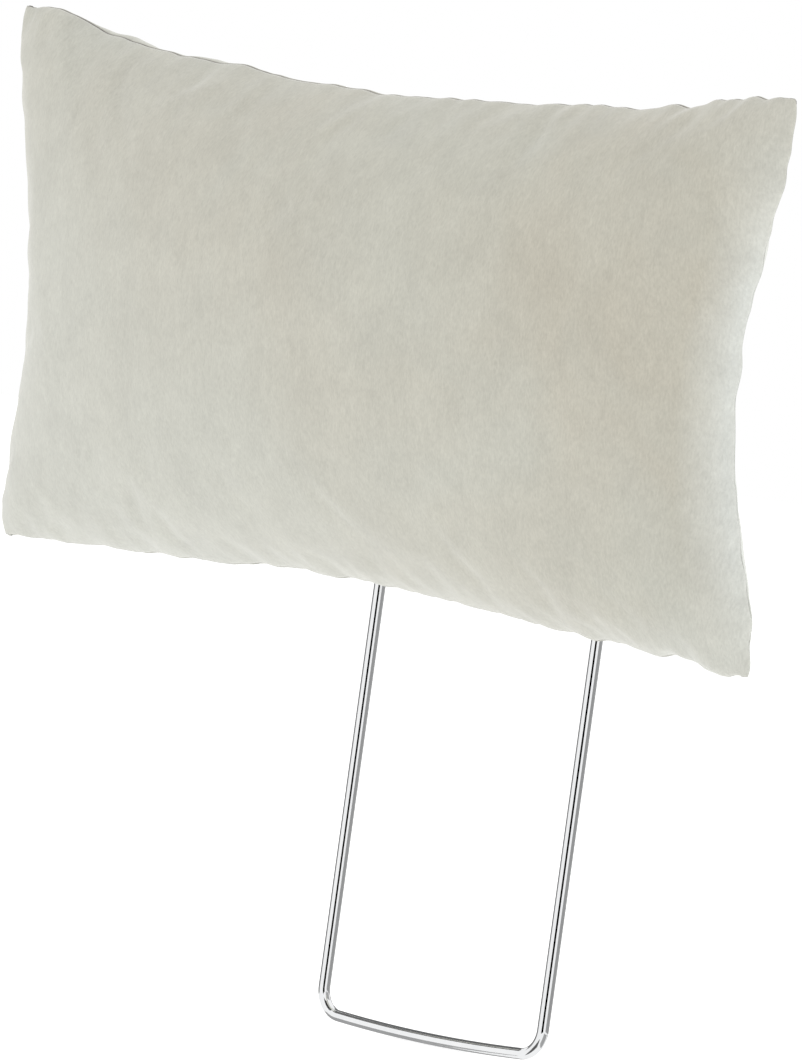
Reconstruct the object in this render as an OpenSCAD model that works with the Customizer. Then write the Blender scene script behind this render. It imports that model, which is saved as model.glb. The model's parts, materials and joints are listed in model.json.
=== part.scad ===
// Slip-in headrest for a sofa or an armchair.
// A velvet cushion has a pocket on its back, and the pocket slides over the upper half of a chromed
// wire loop. The lower half of the loop is pushed down behind the seat's own back cushion. A crank in
// the wire carries the cushion forward of that gap.
// Millimetres. +Z is up, the front faces -Y, and the origin is the middle of the loop's lower bar.

/* [Cushion] */
// Width of the cushion between its corners
cushion_w = 590; // [560:5:620]
// Height of the cushion between its corners
cushion_h = 300; // [290:5:320]
// Furthest that the front stands out of the seam plane
front_crown = 74; // [60:1:85]
// Furthest that the back stands out of the seam plane
back_crown = 54; // [50:1:54]
// How far each side edge pulls in at its middle
side_scoop = 28; // [10:1:35]
// How far the top edge dips at its middle
top_scoop = 26; // [10:1:30]
// How far the bottom edge rises at its middle
bottom_scoop = 8; // [8:1:16]
// Forward lean of the cushion and of the wire inside its pocket
lean = 6.6; // [4:0.2:9]
// Distance of the cushion's bottom edge in front of the loop's legs
reach = 98; // [95:1:105]
// Height of the cushion's bottom corners above the loop's lower bar
drop = 237; // [220:1:260]

/* [Wire frame] */
// Diameter of the wire
wire_d = 6.5; // [5:0.5:7]
// Distance between the centres of the two legs
loop_w = 172; // [150:1:180]
// Centreline radius of the corners
corner_r = 15; // [12:1:18]
// Slope of the lower bar where it meets its corners
bow = 3.6; // [2:0.2:5]
// Centreline radius of the crank's bends
crank_r = 20; // [16:1:22]
// Steepest lean of the crank
crank_lean = 60; // [50:1:65]

/* [Pocket] */
// Height of the pocket's mouth above the cushion's bottom corners
mouth_z = 70; // [66:1:76]
// Free space between the wire and the fabric round it
pocket_gap = 0.4; // [0.3:0.1:0.8]

/* [Zip] */
// Length of the closed zip
zip_l = 360; // [300:4:364]
// Width of one tape
tape_w = 9; // [8:0.5:10]

/* [Fabric] */
// Thickness of the velvet
velvet_t = 1.4; // [1.2:0.1:1.6]
// Thickness of the inner case
case_t = 0.5; // [0.4:0.1:0.8]

/* [Hidden] */
$fn = 32;

velvet = [0.78, 0.76, 0.70];
lining = [0.93, 0.93, 0.91];
wadding = [0.97, 0.97, 0.96];
foam = [0.95, 0.90, 0.72];
chrome = [0.80, 0.81, 0.83];
tape_grey = [0.72, 0.70, 0.65];
nickel = [0.66, 0.66, 0.67];

half_w = cushion_w / 2;
half_h = cushion_h / 2;
wire_r = wire_d / 2;

// ---------- the crowned shape that every soft layer follows ----------

// n + 1 values from -1 to 1, crowded towards both ends
function spread(n) = [for (i = [0 : n]) sin(90 * (2 * i / n - 1))];
// n + 1 values from a to b, evenly spaced
function even(a, b, n) = [for (i = [0 : n]) a + (b - a) * i / n];

u_panel = spread(24);
v_panel = spread(14);
u_inner = spread(18);
v_inner = spread(10);

// Outline in the seam plane: u runs across from -1 to 1 and v runs up from -1 to 1
function out_x(u, v) = u * (half_w - side_scoop * (1 - v * v));
function scoop(u, v) = v > 0 ? top_scoop * (1 - pow(abs(u), 3)) : bottom_scoop * (1 - pow(abs(u), 8));
function out_z(u, v) = v * (half_h - scoop(u, v)) + half_h;

// Height over the seam plane, from 0 at the edge to 1 in the middle
function front_dome(u, v) = sqrt(max(0, (1 - u * u) * (1 - v * v)));
function back_dome(u, v) =
    sqrt(max(0, (1 - pow(abs(u), 2 + 6 * pow((1 - v) / 2, 4))) * (1 - pow(abs(v), 2.6))));

// Points of one layer, with its outline shrunk by kx and kz and set off the seam plane by rim
function front_grid(us, vs, crown, rim, kx = 1, kz = 1) = [for (v = vs) [for (u = us)
    [kx * out_x(u, v), -crown * front_dome(u, v) - rim, kz * (out_z(u, v) - half_h) + half_h]]];
function back_grid(us, vs, crown, rim, kx = 1, kz = 1) = [for (v = vs) [for (u = us)
    [kx * out_x(u, v), crown * back_dome(u, v) + rim, kz * (out_z(u, v) - half_h) + half_h]]];

// Solid between a front grid of points and a back grid of the same size
module layer(front, back) {
    rows = len(front);
    cols = len(front[0]);
    first_back = rows * cols;
    function at(r, c) = r * cols + c;
    front_faces = [for (r = [0 : rows - 2], c = [0 : cols - 2], t = [0, 1]) t == 0
        ? [at(r, c), at(r + 1, c), at(r + 1, c + 1)]
        : [at(r, c), at(r + 1, c + 1), at(r, c + 1)]];
    back_faces = [for (f = front_faces) [for (i = [2 : -1 : 0]) f[i] + first_back]];
    rim = concat(
        [for (c = [0 : cols - 2]) at(0, c)],
        [for (r = [0 : rows - 2]) at(r, cols - 1)],
        [for (c = [cols - 1 : -1 : 1]) at(rows - 1, c)],
        [for (r = [rows - 1 : -1 : 1]) at(r, 0)]);
    rim_faces = [for (i = [0 : len(rim) - 1], t = [0, 1]) let (a = rim[i], b = rim[(i + 1) % len(rim)])
        t == 0 ? [a, b, b + first_back] : [a, b + first_back, a + first_back]];
    polyhedron(
        points = concat([for (row = front) each row], [for (row = back) each row]),
        faces = concat(front_faces, back_faces, rim_faces));
}

// Puts what is drawn in the cushion's own frame (seam plane at y = 0, bottom corners at z = 0) in its place
module in_cushion() {
    translate([0, -reach, drop]) rotate([lean, 0, 0]) children();
}

// ---------- zip: its line on the back, just above the bottom seam ----------

zip_v = -0.87;
zip_half_gap = 3.6;
zip_z = out_z(0, zip_v);
// Place across the back whose height the straight zip takes
zip_rest_u = 0.5;
zip_y = back_crown * back_dome(zip_rest_u, zip_v);
zip_step = 0.01;
zip_slope = atan2(
    back_crown * (back_dome(0, zip_v + zip_step) - back_dome(0, zip_v - zip_step)),
    out_z(0, zip_v + zip_step) - out_z(0, zip_v - zip_step));
gap_v = zip_half_gap * cos(zip_slope) / (half_h - bottom_scoop);
// Share of the half width over which the slit for the zip is fully open
slit_u = 0.71;

// Half the slit between the two fabric edges, in v, which closes beyond the ends of the zip
function opening(u) = abs(u) < slit_u ? gap_v : 0;

// Frame of the zip: x along it, y up across it over the fabric, z out of the cushion
module on_zip() {
    in_cushion() translate([0, zip_y, zip_z]) rotate([-90 - zip_slope, 0, 0]) mirror([0, 1, 0]) children();
}

// ---------- wire ----------

// Height of the wire's plane over the seam plane inside the pocket
wire_y = back_crown + pocket_gap + wire_r;
// Height of the top bar's centre in the cushion's frame
top_bar_z = 198;
// Height of the crank's lower bend over the cushion's bottom corners
crank_rise = 19;
crank_start = drop + crank_rise;

bow_x = loop_w / 2 - corner_r + corner_r * sin(bow);
bow_r = bow_x / sin(bow);
bow_end_z = bow_r * (1 - cos(bow));
corner_z = bow_end_z + corner_r * cos(bow);

// The upper plane of the wire passes through this point, level with the cushion's bottom corners
plane_y = -reach + wire_y * cos(lean);
plane_z = drop + wire_y * sin(lean);
// Ends of the crank's bends and of the straight between them, as [y, z]
bend_1_end = [-crank_r * (1 - cos(crank_lean)), crank_start + crank_r * sin(crank_lean)];
bend_2_move = [-crank_r * (cos(lean) - cos(crank_lean)), crank_r * (sin(crank_lean) - sin(lean))];
bends_end = bend_1_end + bend_2_move;
crank_l = (bends_end[0] - plane_y + tan(lean) * (bends_end[1] - plane_z))
    / (sin(crank_lean) - tan(lean) * cos(crank_lean));
bend_2_start = bend_1_end + crank_l * [-sin(crank_lean), cos(crank_lean)];
bend_2_centre = bend_2_start + crank_r * [cos(crank_lean), sin(crank_lean)];

// Stations along the right half of the wire's centreline, each [place, turn, tilt]. Turn is the
// direction of the wire from +x towards the top of the loop, and tilt is the forward lean of its plane.
bend_steps = 8;
low_turns = concat(even(0, bow, 3), [for (i = [1 : bend_steps]) bow + (90 - bow) * i / bend_steps]);
right_half = concat(
    [for (a = low_turns) a <= bow
        ? [[bow_r * sin(a), 0, bow_r * (1 - cos(a))], a, 0]
        : [[loop_w / 2 - corner_r + corner_r * sin(a), 0, corner_z - corner_r * cos(a)], a, 0]],
    [for (a = even(0, crank_lean, bend_steps))
        [[loop_w / 2, -crank_r * (1 - cos(a)), crank_start + crank_r * sin(a)], 90, a]],
    [for (a = even(crank_lean, lean, bend_steps))
        [[loop_w / 2, bend_2_centre[0] - crank_r * cos(a), bend_2_centre[1] - crank_r * sin(a)], 90, a]],
    [for (a = even(90, 180, bend_steps)) let (z = top_bar_z - corner_r - corner_r * cos(a))
        [[loop_w / 2 - corner_r + corner_r * sin(a), plane_y - z * sin(lean), plane_z + z * cos(lean)],
         a, lean]],
    [[[0, plane_y - top_bar_z * sin(lean), plane_z + top_bar_z * cos(lean)], 180, lean]]);
left_half = [for (i = [len(right_half) - 2 : -1 : 1]) let (s = right_half[i])
    [[-s[0][0], s[0][1], s[0][2]], 360 - s[1], s[2]]];
wire_sides = 16;

// Ring of points round one station
function wire_ring(s) = [for (k = [0 : wire_sides - 1]) let (
    a = 360 * k / wire_sides,
    rise = [0, -sin(s[2]), cos(s[2])],
    outward = sin(s[1]) * [1, 0, 0] - cos(s[1]) * rise,
    rear = [0, cos(s[2]), sin(s[2])])
    s[0] + wire_r * (cos(a) * outward + sin(a) * rear)];

// One closed ring of bent wire, butt-welded in its top bar
module wire_frame() {
    stations = concat(right_half, left_half);
    n = len(stations);
    function at(i, k) = (i % n) * wire_sides + k % wire_sides;
    color(chrome) polyhedron(
        points = [for (s = stations) each wire_ring(s)],
        faces = [for (i = [0 : n - 1], k = [0 : wire_sides - 1], t = [0, 1]) t == 0
            ? [at(i, k), at(i, k + 1), at(i + 1, k + 1)]
            : [at(i, k), at(i + 1, k + 1), at(i + 1, k)]]);
}

// ---------- cover ----------

module front_panel() {
    color(velvet) in_cushion() layer(
        front_grid(u_panel, v_panel, front_crown - velvet_t, velvet_t),
        front_grid(u_panel, v_panel, front_crown - velvet_t, 0));
}

// Part of the back between two lines that run across it: rows of v for each u
module back_part(low, high, rows) {
    grid = function (rim) [for (r = [0 : rows]) [for (i = [0 : len(u_panel) - 1])
        let (u = u_panel[i], v = low[i] + (high[i] - low[i]) * rows_at(r / rows))
        [out_x(u, v), (back_crown - velvet_t) * back_dome(u, v) + rim, out_z(u, v)]]];
    function rows_at(t) = high[0] == 1 ? sin(90 * t) : 1 - cos(90 * t);
    color(velvet) in_cushion() layer(grid(0), grid(velvet_t));
}

module back_panel() {
    back_part([for (u = u_panel) zip_v + opening(u)], [for (u = u_panel) 1], 13);
}

module back_hem() {
    back_part([for (u = u_panel) -1], [for (u = u_panel) zip_v - opening(u)], 4);
}

// ---------- pocket on the back ----------

pocket_in = wire_y + wire_r + pocket_gap;
pocket_top_z = top_bar_z + wire_r + pocket_gap;
// v of a height in the middle of the cushion
function v_of(z) = (z - half_h) / (half_h - (z > half_h ? top_scoop : bottom_scoop));

flat_u = 0.355;
seam_u = 0.43;
bind_h = 10;
bind_t = 0.8;
// Clearance of a piece that is sewn to the back
sewn_gap = 0.4;
// Heights over the mouth and over the wire at which the pocket's rows of points lie
first_row = 25;
last_row = 2;
seam_row = 28;
pocket_us = concat([-seam_u], even(-flat_u, flat_u, 6), [seam_u]);
pocket_vs = concat(
    [v_of(mouth_z), v_of(mouth_z + bind_h)],
    even(v_of(mouth_z + first_row), v_of(pocket_top_z + last_row), 6),
    [v_of(pocket_top_z + seam_row)]);

// Inner face of the pocket: flat behind the wire, and down on the back panel along its three seams
function on_seam(u, v) = abs(u) > (flat_u + seam_u) / 2 || out_z(0, v) > pocket_top_z + seam_row / 2;
function pocket_y(u, v) = on_seam(u, v) ? back_crown * back_dome(u, v) + sewn_gap : pocket_in;
function pocket_grid(us, vs, off) =
    [for (v = vs) [for (u = us) [out_x(u, v), pocket_y(u, v) + off, out_z(u, v)]]];

module pocket_panel() {
    color(velvet) in_cushion()
        layer(pocket_grid(pocket_us, pocket_vs, 0), pocket_grid(pocket_us, pocket_vs, velvet_t));
}

module pocket_binding() {
    vs = [pocket_vs[0], pocket_vs[1]];
    color(tape_grey) in_cushion()
        layer(pocket_grid(pocket_us, vs, velvet_t), pocket_grid(pocket_us, vs, velvet_t + bind_t));
}

// Small patch that lies on the back panel
module back_patch(us, vs, off, t) {
    in_cushion() layer(
        [for (v = vs) [for (u = us) [out_x(u, v), back_crown * back_dome(u, v) + off, out_z(u, v)]]],
        [for (v = vs) [for (u = us) [out_x(u, v), back_crown * back_dome(u, v) + off + t, out_z(u, v)]]]);
}

// Extent of a tack across the back from the pocket's seam, its clearance and its thickness
tack_us = [seam_u + 0.002, seam_u + 0.012];
tack_gap = 0.3;
tack_t = 1.2;

module bar_tacks() {
    tack_vs = [v_of(mouth_z - 1), v_of(mouth_z + bind_h)];
    color(tape_grey) for (side = [0, 1]) mirror([side, 0, 0]) back_patch(tack_us, tack_vs, tack_gap, tack_t);
}

// Extent of the ribbon across the back, and the heights of its two ends
label_us = even(seam_u + 0.003, seam_u + 0.09, 3);
label_low = 132;
label_high = 172;
label_t = 0.6;

module care_label() {
    color("white") back_patch(label_us, even(v_of(label_low), v_of(label_high), 4), sewn_gap, label_t);
}

// ---------- inner cushion ----------

// Share of the cover's width and height that each layer takes, and how far it lies inside the cover's crowns
case_k = [0.955, 0.93];
case_inset = 5;
wrap_k = [0.935, 0.90];
wrap_inset = 8;
wrap_rim = 1;
core_k = [0.90, 0.85];
core_front = 24;
core_back = 20;
core_rim = 0.4;
// Clearance between the foam and the wadding
core_gap = 2;

function inner_front(crown, rim, k) = front_grid(u_inner, v_inner, crown, rim, k[0], k[1]);
function inner_back(crown, rim, k) = back_grid(u_inner, v_inner, crown, rim, k[0], k[1]);

module inner_case_front() {
    color(lining) in_cushion() layer(
        inner_front(front_crown - case_inset, case_t, case_k),
        inner_front(front_crown - case_inset, 0, case_k));
}

module inner_case_back() {
    color(lining) in_cushion() layer(
        inner_back(back_crown - case_inset, 0, case_k),
        inner_back(back_crown - case_inset, case_t, case_k));
}

module fibre_wrap_front() {
    color(wadding) in_cushion() layer(
        inner_front(front_crown - wrap_inset, wrap_rim, wrap_k),
        inner_front(core_front + core_gap, 0, wrap_k));
}

module fibre_wrap_back() {
    color(wadding) in_cushion() layer(
        inner_back(core_back + core_gap, 0, wrap_k),
        inner_back(back_crown - wrap_inset, wrap_rim, wrap_k));
}

module foam_core() {
    color(foam) in_cushion() layer(
        inner_front(core_front, core_rim, core_k),
        inner_back(core_back, core_rim, core_k));
}

// ---------- zip parts ----------

coil_in = 0.6;
coil_out = 2.6;
tape_top = -3.4;
tape_t = 0.6;
tape_tail = 6;
coil_top = -1.2;

module zip_tape() {
    color(tape_grey) translate([-zip_l / 2 - tape_tail, coil_in, tape_top - tape_t])
        cube([zip_l + 2 * tape_tail, tape_w - coil_in, tape_t]);
}

module zip_coil() {
    color(tape_grey) translate([-zip_l / 2, coil_in, tape_top])
        cube([zip_l, coil_out - coil_in, coil_top - tape_top]);
}

module zip_tape_upper() {
    on_zip() zip_tape();
}

module zip_tape_lower() {
    on_zip() mirror([0, 1, 0]) zip_tape();
}

module zip_coil_upper() {
    on_zip() zip_coil();
}

module zip_coil_lower() {
    on_zip() mirror([0, 1, 0]) zip_coil();
}

stop_l = 2;
stop_t = 2;

// One clip on the end of each coil, beyond the closed slider
module zip_top_stops() {
    color(nickel) on_zip() for (side = [0, 1]) mirror([0, side, 0])
        translate([-zip_l / 2 - stop_l, coil_in, tape_top]) cube([stop_l, coil_out - coil_in, stop_t]);
}

// One clip across both coils at the open end
module zip_bottom_stop() {
    color(nickel) on_zip() translate([zip_l / 2, -coil_out, tape_top]) cube([stop_l, 2 * coil_out, stop_t]);
}

slider_l = 10;
slider_w = 7.8;
slider_gap = 0.4;
slider_x = -zip_l / 2 + slider_l / 2 + slider_gap;
plate_t = 1;
plate_out = 1.3;
plate_in = tape_top - tape_t - slider_gap - plate_t;
bridge_l = 3;
bridge_t = 0.6;
pin_r = 0.6;
pin_out = plate_out + plate_t + 1.5;
lug_t = 0.9;
lug_r = 1.1;
lug_gap = 0.2;
barrel_r = 1.15;
barrel_w = 4;
pin_x = 2;

// Two plates either side of the coils, the bridge between them, and lugs with the pull's pin
module zip_slider() {
    color(nickel) on_zip() translate([slider_x, 0, 0]) union() {
        for (z = [plate_in, plate_out])
            translate([-slider_l / 2, -slider_w / 2, z]) cube([slider_l, slider_w, plate_t]);
        translate([-slider_l / 2, -bridge_t / 2, plate_in])
            cube([bridge_l, bridge_t, plate_out + plate_t - plate_in]);
        for (side = [0, 1]) mirror([0, side, 0])
            translate([pin_x - lug_r, barrel_w / 2 + lug_gap, plate_out])
                cube([2 * lug_r, lug_t, pin_out - plate_out + lug_r]);
        translate([pin_x, 0, pin_out]) rotate([90, 0, 0])
            cylinder(r = pin_r, h = barrel_w + 1, center = true);
    }
}

pull_l = 24;
pull_w = 5;
pull_t = 1.2;
neck_l = 5;
neck_w = 3;
pin_gap = 0.05;
eye_r = 1.2;

// Flat tab that turns on the slider's pin
module zip_pull() {
    color(nickel) on_zip() translate([slider_x + pin_x, 0, pin_out]) difference() {
        union() {
            rotate([90, 0, 0]) cylinder(r = barrel_r, h = barrel_w, center = true);
            translate([0, -neck_w / 2, -pull_t / 2]) cube([neck_l + 1, neck_w, pull_t]);
            translate([neck_l, -pull_w / 2, -pull_t / 2])
                cube([pull_l - neck_l - pull_w / 2, pull_w, pull_t]);
            translate([pull_l - pull_w / 2, 0, -pull_t / 2]) cylinder(d = pull_w, h = pull_t);
        }
        rotate([90, 0, 0]) cylinder(r = pin_r + pin_gap, h = barrel_w + 1, center = true);
        translate([pull_l - pull_w / 2, 0, -pull_t]) cylinder(r = eye_r, h = 2 * pull_t);
    }
}

wire_frame();
front_panel();
back_panel();
back_hem();
pocket_panel();
pocket_binding();
bar_tacks();
inner_case_front();
inner_case_back();
fibre_wrap_front();
fibre_wrap_back();
foam_core();
zip_tape_upper();
zip_tape_lower();
zip_coil_upper();
zip_coil_lower();
zip_top_stops();
zip_bottom_stop();
zip_slider();
zip_pull();
care_label();
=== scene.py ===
"""Looks of the slip-in headrest: a velvet cushion with a pocket on its back, on a chromed wire loop."""
import json
import math

import bpy
import numpy as np
from mathutils import Matrix, Vector, noise


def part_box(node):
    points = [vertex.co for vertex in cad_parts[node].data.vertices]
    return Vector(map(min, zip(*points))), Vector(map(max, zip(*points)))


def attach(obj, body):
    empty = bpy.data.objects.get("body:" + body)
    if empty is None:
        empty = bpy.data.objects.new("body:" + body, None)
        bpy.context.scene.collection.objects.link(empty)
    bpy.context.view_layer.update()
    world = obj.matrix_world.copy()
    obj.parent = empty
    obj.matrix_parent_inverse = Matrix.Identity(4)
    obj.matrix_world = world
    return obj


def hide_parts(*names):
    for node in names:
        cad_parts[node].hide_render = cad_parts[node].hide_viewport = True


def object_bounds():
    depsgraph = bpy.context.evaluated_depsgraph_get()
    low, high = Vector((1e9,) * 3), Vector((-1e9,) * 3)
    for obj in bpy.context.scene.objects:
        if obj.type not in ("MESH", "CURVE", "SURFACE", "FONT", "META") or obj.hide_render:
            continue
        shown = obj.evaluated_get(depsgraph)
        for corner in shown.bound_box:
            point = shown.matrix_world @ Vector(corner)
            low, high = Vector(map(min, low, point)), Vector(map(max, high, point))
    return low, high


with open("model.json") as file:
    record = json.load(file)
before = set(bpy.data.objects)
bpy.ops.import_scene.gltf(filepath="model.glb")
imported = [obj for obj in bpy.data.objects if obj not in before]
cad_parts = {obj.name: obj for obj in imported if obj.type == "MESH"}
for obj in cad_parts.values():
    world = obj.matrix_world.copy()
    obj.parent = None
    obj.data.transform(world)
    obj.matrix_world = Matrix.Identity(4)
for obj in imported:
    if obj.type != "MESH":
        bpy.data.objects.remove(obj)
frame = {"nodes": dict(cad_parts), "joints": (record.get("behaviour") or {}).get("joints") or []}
cad_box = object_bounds()
scene = bpy.context.scene

# ---------- sizes from the CAD frame, in metres ----------
MM = 0.001
LIFT = {j["name"]: j["axis"] for j in frame["joints"]}["cushion_lift"]
LEAN = math.atan2(-LIFT[1], LIFT[2])           # forward lean of the cushion
COS, SIN = math.cos(LEAN), math.sin(LEAN)
HALF_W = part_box("front_panel")[1].x            # half the width at the corners
HALF_H = 150 * MM
REACH, DROP = 98 * MM, 237 * MM                # the cushion's bottom edge, from the lower bar
BACK_CROWN = 54 * MM
BOTTOM_SCOOP, TOP_SCOOP = 8 * MM, 26 * MM      # how far the seam curves in at the bottom and at the top
ZIP_V = -0.87                                  # height of the zip, from -1 at the bottom seam to 1 at the top
ZIP_GAP = 3.6 * MM                             # half the slit between the two edges of cloth
ZIP_L = 360 * MM
WIRE_R = 3.25 * MM
LEG_X = 86 * MM                                # from the middle to a leg of the loop
BAR_Z = 198 * MM                               # top bar of the loop, in the cushion's frame
POCKET_IN = 61.3 * MM                          # inner face of the pocket over the seam plane
POCKET_TOP, MOUTH_Z = 229.6 * MM, 70 * MM
SEAM_U = 0.43                                  # side seams of the pocket, where 1 is the cushion's own side
POCKET_T, COVER_T = 1.4 * MM, 1.2 * MM         # cloth of the pocket with its nap, and of the cover


def to_row(p):
    """Points of the cushion's own frame (seam plane y = 0, bottom corners z = 0) in the row frame."""
    p = np.asarray(p, float)
    return np.stack([p[..., 0], -REACH + p[..., 1] * COS - p[..., 2] * SIN,
                     DROP + p[..., 1] * SIN + p[..., 2] * COS], -1)


def smooth(a, b, x):
    """0 before a, 1 after b, and a soft step between."""
    t = np.clip((x - a) / (b - a), 0, 1)
    return t * t * (3 - 2 * t)


# ---------- the stuffed shape ----------
# u runs from -1 at the cushion's left side to 1 at its right, and v from -1 at its bottom to 1 at its top.
SIDE_PULL, SIDE_POWER = 22.5 * MM, 1.8         # how far the sides pull in between the corners
TOP_PULL, TOP_POWER = 23.5 * MM, (2.4, 1.35)   # how far the top dips
TOP_EARS = 3.0 * MM                            # how far the upper corners stand up
LEFT_EAR, RIGHT_EAR = 3, 8                     # how far they stand out to the sides, in mm
CORNER_ROUND = (3.6 * MM, 5.0 * MM)            # how far the upper and the lower corners are rounded off
CORNER_POWER = (11, 9)                         # the lower, the further the rounding reaches
LEFT_DROOP, RIGHT_DROOP = 8.5 * MM, 10 * MM    # how far the lower edge hangs down
MIDDLE_RISE = 2.5 * MM                         # how far its middle stands up
SAG = 4.5 * MM                                 # the right corners hang a little lower than the left
FRONT_CROWN = 66 * MM                          # before the simulation swells it
WEDGE = 12 * MM                                # width of the slant along the back's side seams
SEAM_RIM = 1.1 * MM                            # the panels' edges stand this far off the seam plane
SEAM_GAP = 0.25 * MM                           # and turn in until they are this close to it
SEAM_ROLL = 1.6 * MM                           # how far the right seam rolls to the back

# Slow waves of the four edges: place along the edge from -1 to 1, width, and how far in, in mm.
TOP_WAVES = ((-0.88, 0.08, -1.5), (-0.62, 0.12, 1.2), (-0.38, 0.14, -3.0),
             (0.45, 0.13, -0.8), (0.62, 0.12, 1.8), (0.80, 0.10, 1.0))
LOW_WAVES = ((-0.70, 0.15, -1.2), (-0.44, 0.15, -3.3), (0.22, 0.20, -2.4),
             (0.76, 0.12, -2.2), (0.93, 0.06, -4.0))
RIGHT_WAVES = ((0.36, 0.18, -4.2), (0.92, 0.10, -2.0), (-0.85, 0.12, -2.0))
LEFT_WAVES = ((0.15, 0.30, -3.5),)
# Lumps of the back that show over the top seam: place along the edge, width and height in mm.
BACK_LUMPS = ((-0.72, 0.08, 4.2), (-0.5, 0.09, 3.0))


def waves(table, t):
    return sum(depth * MM * np.exp(-((t - at) / width) ** 2) for at, width, depth in table)


def outline(u, v, droop_from=-0.2):
    """Place of (u, v) in the seam plane. The lower edge droops, most on the right."""
    au, av = np.abs(u), np.abs(v)
    right, upper = u > 0, v > 0
    pull = SIDE_PULL + MM * np.where(right, 5 * smooth(0.1, -0.5, v), 2 * smooth(0.0, -0.6, v))
    ears = np.where(upper, np.where(right, RIGHT_EAR, LEFT_EAR), 0) * smooth(0.1, 0.75, av)
    side = np.where(right, waves(RIGHT_WAVES, v), waves(LEFT_WAVES, v))
    x = u * (HALF_W + ears * MM - pull * (1 - v * v) ** SIDE_POWER - side)
    top = TOP_PULL * (1 - au ** TOP_POWER[0]) ** TOP_POWER[1] + waves(TOP_WAVES, u)
    top = top - TOP_EARS * smooth(0.7, 0.95, au)
    low = BOTTOM_SCOOP * (1 - au ** 8) + waves(LOW_WAVES, u)
    z = v * (HALF_H - np.where(upper, top, low)) + HALF_H
    rounding = np.where(upper, *CORNER_ROUND) * (au * av) ** np.where(upper, *CORNER_POWER)
    x = x - np.sign(u) * rounding
    z = z - np.sign(v) * rounding
    droop = LEFT_DROOP * smooth(-0.3, -1, u) + RIGHT_DROOP * smooth(0.1, 0.62, u) - MIDDLE_RISE
    return x, z - SAG * u * au - droop * smooth(droop_from, -1, v)


def front_dome(u, v):
    return np.sqrt(np.maximum(0, (1 - u * u) * (1 - v * v)))


def back_dome(u, v):
    power = 2 + 6 * ((1 - v) / 2) ** 4
    return np.sqrt(np.maximum(0, (1 - np.abs(u) ** power) * (1 - np.abs(v) ** 2.6)))


def wedge(u):
    """The back leaves its side seams at a slant, so it doesn't stand out beyond them."""
    return 1 - np.exp(-(1 - np.abs(u)) * HALF_W / WEDGE)


def spread(n, share):
    """n steps from -1 to 1, closer together towards the ends."""
    t = np.linspace(-1, 1, n + 1)
    return (1 - share) * t + share * np.sin(t * math.pi / 2)


US, VS = spread(128, 0.35), spread(68, 0.35)
UU, VV = np.meshgrid(US, VS)


def start_shape():
    """Front and back before the simulation. The back droops only below the zip."""
    x, z = outline(UU, VV)
    front = np.stack([x, -FRONT_CROWN * front_dome(UU, VV), z], -1)
    x, z = outline(UU, VV, ZIP_V + 0.02)
    lumps = sum(height * np.exp(-((UU - at) / width) ** 2) for at, width, height in BACK_LUMPS)
    z = z + lumps * MM * smooth(0.6, 0.93, VV) * (VV < 1)
    back = np.stack([x, BACK_CROWN * back_dome(UU, VV) * wedge(UU), z], -1)
    return front, back


def held_back():
    """1 where the back keeps its CAD shape, behind the pocket and along the zip, and 0 elsewhere."""
    pocket_area = 1 - smooth(SEAM_U, 0.52, np.abs(UU))
    pocket_area = pocket_area * smooth(-0.72, -0.6, VV) * (1 - smooth(0.72, 0.84, VV))
    zip_line = (1 - smooth(0.07, 0.13, np.abs(VV - ZIP_V))) * (1 - smooth(0.74, 0.84, np.abs(UU)))
    return np.maximum(pocket_area, zip_line)


SIM_FRAMES = 20
SIM_REACH = 12 * MM                            # no point moves further than this
CLOTH = {"quality": 6, "mass": 0.3, "vertex_group_mass": "pins",
         "tension_stiffness": 60, "compression_stiffness": 60, "shear_stiffness": 5, "bending_stiffness": 1,
         "tension_damping": 5, "compression_damping": 5, "shear_damping": 5, "bending_damping": 0.5,
         "air_damping": 1, "shrink_min": -0.007, "use_pressure": True, "uniform_pressure_force": 4}


def pillow_mesh(front, back):
    """Both panels as one closed mesh that shares the seam's points, and each grid point's index in it."""
    inner = np.zeros(front.shape[:2], bool)
    inner[1:-1, 1:-1] = True
    index_front = np.arange(inner.size).reshape(inner.shape)
    index_back = index_front.copy()
    index_back[inner] = inner.size + np.arange(inner.sum())
    points = np.concatenate([front.reshape(-1, 3), back[inner]])
    faces = []
    for index, flip in ((index_front, False), (index_back, True)):
        a, b, c, d = index[:-1, :-1], index[:-1, 1:], index[1:, 1:], index[1:, :-1]
        faces += np.stack([a, d, c, b] if flip else [a, b, c, d], -1).reshape(-1, 4).tolist()
    hold = np.zeros(len(points))
    hold[index_front[~inner]] = 1
    hold[index_back[inner]] = held_back()[inner]
    return points, faces, hold, index_front, index_back


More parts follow.
